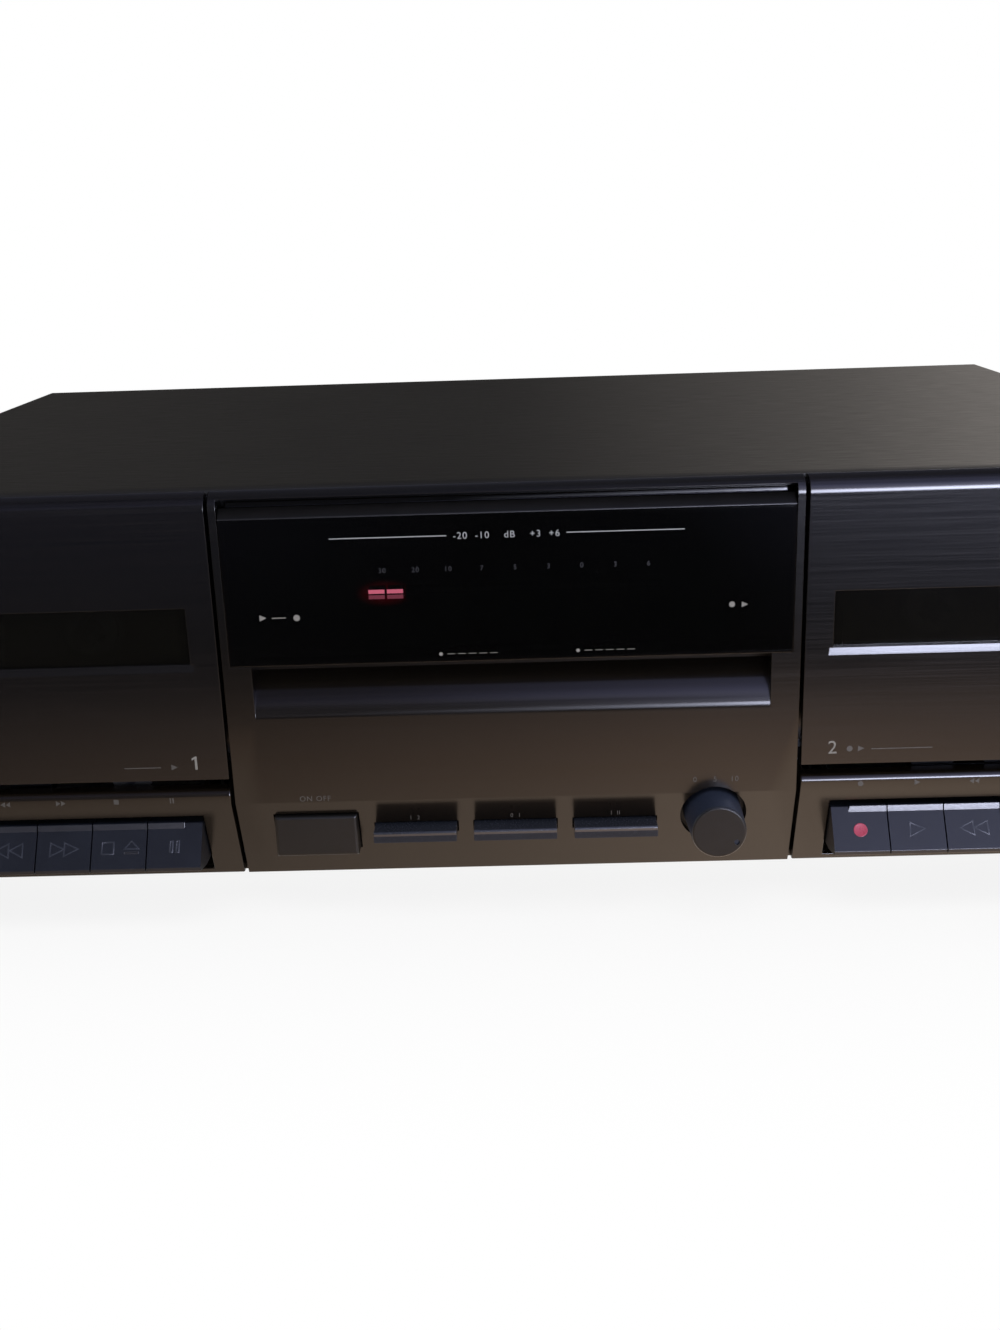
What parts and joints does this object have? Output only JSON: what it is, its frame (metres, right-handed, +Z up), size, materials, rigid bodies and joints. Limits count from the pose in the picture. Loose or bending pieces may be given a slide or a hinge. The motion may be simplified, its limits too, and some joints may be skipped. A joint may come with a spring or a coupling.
{
  "type": "double cassette deck",
  "caption": "Wide, low cassette deck with two tilting doors, smoked windows, piano keys, a black meter window, push buttons and a level knob.",
  "frame": {"origin": "under the middle of the deck's bounding box, on the surface the feet stand on", "axes": "+X to the right as seen from the front, +Y from front to rear, +Z up"},
  "size_m": [0.4336, 0.2886, 0.132],
  "materials": {
    "front_anthracite": "anthracite, fine horizontal hairlines, satin",
    "door_anthracite": "anthracite, fine horizontal hairlines, satin",
    "window_black": "deep black, glossy",
    "smoked_pane": "smoked clear, glossy",
    "circuit_board": "pressed board, tan",
    "meter_red": "red light segments, the first two of each row lit",
    "black_plastic": "black, matt",
    "zinc_steel": "zinc-plated sheet",
    "motor_steel": "drawn can, satin",
    "belt_rubber": "black rubber",
    "dark_screw": "black zinc",
    "cover_paint": "warm black-brown paint, satin",
    "rear_paint": "black paint, satin",
    "foot_plastic": "black, matt",
    "core_iron": "varnished iron core",
    "jack_metal": "nickel-plated",
    "polished_steel": "ground steel",
    "button_grey": "dark grey, satin",
    "holder_black": "black, matt",
    "pulley_brass": "turned brass",
    "head_chrome": "polished",
    "spindle_grey": "grey, satin",
    "key_slate": "slate grey-blue, satin"
  },
  "bodies": {
    "case": {"fascia": "front_anthracite", "display_window": "window_black", "meter_board": "circuit_board", "meter_segments": "meter_red", "key_panel_a": "front_anthracite", "key_panel_b": "front_anthracite", "key_rods": "polished_steel", "button_switches": "black_plastic", "level_potentiometer": "zinc_steel", "mech_chassis_a": "zinc_steel", "mech_chassis_b": "zinc_steel", "motor_brackets": "zinc_steel", "motors": "motor_steel", "drive_belts": "belt_rubber", "mech_screws": "dark_screw", "top_cover": "cover_paint", "base_pan": "zinc_steel", "rear_panel": "rear_paint", "cover_screws": "dark_screw", "feet": "foot_plastic", "main_board": "circuit_board", "transformer": "core_iron", "mains_inlet": "black_plastic", "rca_jacks": "jack_metal"},
    "door_a": {"door_panel_a": "door_anthracite", "door_window_a": "smoked_pane", "cassette_holder_a": "holder_black"},
    "door_b": {"door_panel_b": "door_anthracite", "door_window_b": "smoked_pane", "cassette_holder_b": "holder_black"},
    "key_a_pause": {"key_a_pause": "key_slate"},
    "key_a_stop": {"key_a_stop": "key_slate"},
    "key_a_forward": {"key_a_forward": "key_slate"},
    "key_a_rewind": {"key_a_rewind": "key_slate"},
    "key_a_play": {"key_a_play": "key_slate"},
    "key_b_record": {"key_b_record": "key_slate"},
    "key_b_play": {"key_b_play": "key_slate"},
    "key_b_rewind": {"key_b_rewind": "key_slate"},
    "key_b_forward": {"key_b_forward": "key_slate"},
    "key_b_stop": {"key_b_stop": "key_slate"},
    "key_b_pause": {"key_b_pause": "key_slate"},
    "power_button": {"power_button": "button_grey"},
    "speed_button": {"speed_button": "button_grey"},
    "noise_button": {"noise_button": "button_grey"},
    "tape_button": {"tape_button": "button_grey"},
    "level_knob": {"level_knob": "button_grey"},
    "flywheel_a": {"flywheel_a": "polished_steel"},
    "motor_pulley_a": {"motor_pulley_a": "pulley_brass"},
    "reel_spindle_a_left": {"reel_spindle_a_left": "spindle_grey"},
    "reel_spindle_a_right": {"reel_spindle_a_right": "spindle_grey"},
    "head_bridge_a": {"head_bridge_a": "zinc_steel", "tape_heads_a": "head_chrome"},
    "pinch_roller_a": {"pinch_roller_a": "belt_rubber"},
    "flywheel_b": {"flywheel_b": "polished_steel"},
    "motor_pulley_b": {"motor_pulley_b": "pulley_brass"},
    "reel_spindle_b_left": {"reel_spindle_b_left": "spindle_grey"},
    "reel_spindle_b_right": {"reel_spindle_b_right": "spindle_grey"},
    "head_bridge_b": {"head_bridge_b": "zinc_steel", "tape_heads_b": "head_chrome"},
    "pinch_roller_b": {"pinch_roller_b": "belt_rubber"}
  },
  "joints": [
    {"name": "door_a_tilt", "type": "hinge", "parent": "case", "child": "door_a", "pos_m": [-0.1492, -0.1273, 0.0505], "axis": [1, 0, 0], "range_deg": [0, 28]},
    {"name": "door_b_tilt", "type": "hinge", "parent": "case", "child": "door_b", "pos_m": [0.1492, -0.1273, 0.0505], "axis": [1, 0, 0], "range_deg": [0, 28]},
    {"name": "key_a_pause_press", "type": "hinge", "parent": "case", "child": "key_a_pause", "pos_m": [-0.10355, -0.0953, 0.024], "axis": [1, 0, 0], "range_deg": [0, 8], "stiffness_Nm_per_rad": 0.5, "springref_deg": -5.73},
    {"name": "key_a_stop_press", "type": "hinge", "parent": "case", "child": "key_a_stop", "pos_m": [-0.12045, -0.0953, 0.024], "axis": [1, 0, 0], "range_deg": [0, 8], "stiffness_Nm_per_rad": 0.5, "springref_deg": -5.73},
    {"name": "key_a_forward_press", "type": "hinge", "parent": "case", "child": "key_a_forward", "pos_m": [-0.13735, -0.0953, 0.024], "axis": [1, 0, 0], "range_deg": [0, 8], "stiffness_Nm_per_rad": 0.5, "springref_deg": -5.73},
    {"name": "key_a_rewind_press", "type": "hinge", "parent": "case", "child": "key_a_rewind", "pos_m": [-0.15425, -0.0953, 0.024], "axis": [1, 0, 0], "range_deg": [0, 8], "stiffness_Nm_per_rad": 0.5, "springref_deg": -5.73},
    {"name": "key_a_play_press", "type": "hinge", "parent": "case", "child": "key_a_play", "pos_m": [-0.17115, -0.0953, 0.024], "axis": [1, 0, 0], "range_deg": [0, 8], "stiffness_Nm_per_rad": 0.5, "springref_deg": -5.73},
    {"name": "key_b_record_press", "type": "hinge", "parent": "case", "child": "key_b_record", "pos_m": [0.10355, -0.0953, 0.024], "axis": [1, 0, 0], "range_deg": [0, 8], "stiffness_Nm_per_rad": 0.5, "springref_deg": -5.73},
    {"name": "key_b_play_press", "type": "hinge", "parent": "case", "child": "key_b_play", "pos_m": [0.12045, -0.0953, 0.024], "axis": [1, 0, 0], "range_deg": [0, 8], "stiffness_Nm_per_rad": 0.5, "springref_deg": -5.73},
    {"name": "key_b_rewind_press", "type": "hinge", "parent": "case", "child": "key_b_rewind", "pos_m": [0.13735, -0.0953, 0.024], "axis": [1, 0, 0], "range_deg": [0, 8], "stiffness_Nm_per_rad": 0.5, "springref_deg": -5.73},
    {"name": "key_b_forward_press", "type": "hinge", "parent": "case", "child": "key_b_forward", "pos_m": [0.15425, -0.0953, 0.024], "axis": [1, 0, 0], "range_deg": [0, 8], "stiffness_Nm_per_rad": 0.5, "springref_deg": -5.73},
    {"name": "key_b_stop_press", "type": "hinge", "parent": "case", "child": "key_b_stop", "pos_m": [0.17115, -0.0953, 0.024], "axis": [1, 0, 0], "range_deg": [0, 8], "stiffness_Nm_per_rad": 0.5, "springref_deg": -5.73},
    {"name": "key_b_pause_press", "type": "hinge", "parent": "case", "child": "key_b_pause", "pos_m": [0.18805, -0.0953, 0.024], "axis": [1, 0, 0], "range_deg": [0, 8], "stiffness_Nm_per_rad": 0.5, "springref_deg": -5.73},
    {"name": "power_button_push", "type": "slide", "parent": "case", "child": "power_button", "axis": [0, 1, 0], "range_m": [0, 0.004], "stiffness_N_per_m": 300, "springref_m": -0.003},
    {"name": "speed_button_push", "type": "slide", "parent": "case", "child": "speed_button", "axis": [0, 1, 0], "range_m": [0, 0.003], "stiffness_N_per_m": 300, "springref_m": -0.003},
    {"name": "noise_button_push", "type": "slide", "parent": "case", "child": "noise_button", "axis": [0, 1, 0], "range_m": [0, 0.003], "stiffness_N_per_m": 300, "springref_m": -0.003},
    {"name": "tape_button_push", "type": "slide", "parent": "case", "child": "tape_button", "axis": [0, 1, 0], "range_m": [0, 0.003], "stiffness_N_per_m": 300, "springref_m": -0.003},
    {"name": "level_knob_turn", "type": "hinge", "parent": "case", "child": "level_knob", "pos_m": [0.0601, -0.1333, 0.0292], "axis": [0, 1, 0], "range_deg": [-272, 28]},
    {"name": "flywheel_a_spin", "type": "hinge", "parent": "case", "child": "flywheel_a", "pos_m": [-0.1176, -0.1098, 0.059], "axis": [0, 1, 0], "continuous": true},
    {"name": "motor_pulley_a_spin", "type": "hinge", "parent": "case", "child": "motor_pulley_a", "pos_m": [-0.1792, -0.1098, 0.07], "axis": [0, 1, 0], "continuous": true},
    {"name": "reel_spindle_a_left_spin", "type": "hinge", "parent": "case", "child": "reel_spindle_a_left", "pos_m": [-0.17045, -0.1098, 0.0875], "axis": [0, 1, 0], "continuous": true},
    {"name": "reel_spindle_a_right_spin", "type": "hinge", "parent": "case", "child": "reel_spindle_a_right", "pos_m": [-0.12795, -0.1098, 0.0875], "axis": [0, 1, 0], "continuous": true},
    {"name": "head_bridge_a_rise", "type": "slide", "parent": "case", "child": "head_bridge_a", "axis": [0, 0, 1], "range_m": [0, 0.008]},
    {"name": "pinch_roller_a_spin", "type": "hinge", "parent": "head_bridge_a", "child": "pinch_roller_a", "pos_m": [-0.1176, -0.1098, 0.04325], "axis": [0, 1, 0], "continuous": true},
    {"name": "flywheel_b_spin", "type": "hinge", "parent": "case", "child": "flywheel_b", "pos_m": [0.1808, -0.1098, 0.059], "axis": [0, 1, 0], "continuous": true},
    {"name": "motor_pulley_b_spin", "type": "hinge", "parent": "case", "child": "motor_pulley_b", "pos_m": [0.1192, -0.1098, 0.07], "axis": [0, 1, 0], "continuous": true},
    {"name": "reel_spindle_b_left_spin", "type": "hinge", "parent": "case", "child": "reel_spindle_b_left", "pos_m": [0.12795, -0.1098, 0.0875], "axis": [0, 1, 0], "continuous": true},
    {"name": "reel_spindle_b_right_spin", "type": "hinge", "parent": "case", "child": "reel_spindle_b_right", "pos_m": [0.17045, -0.1098, 0.0875], "axis": [0, 1, 0], "continuous": true},
    {"name": "head_bridge_b_rise", "type": "slide", "parent": "case", "child": "head_bridge_b", "axis": [0, 0, 1], "range_m": [0, 0.008]},
    {"name": "pinch_roller_b_spin", "type": "hinge", "parent": "head_bridge_b", "child": "pinch_roller_b", "pos_m": [0.1808, -0.1098, 0.04325], "axis": [0, 1, 0], "continuous": true}
  ],
  "couplings": [
    {"joint": "motor_pulley_a_spin", "follows": "flywheel_a_spin", "ratio": 5.75},
    {"joint": "head_bridge_a_rise", "follows": "key_a_play_press", "m_per_rad": 0.05729},
    {"joint": "motor_pulley_b_spin", "follows": "flywheel_b_spin", "ratio": 5.75},
    {"joint": "head_bridge_b_rise", "follows": "key_b_play_press", "m_per_rad": 0.05729}
  ]
}
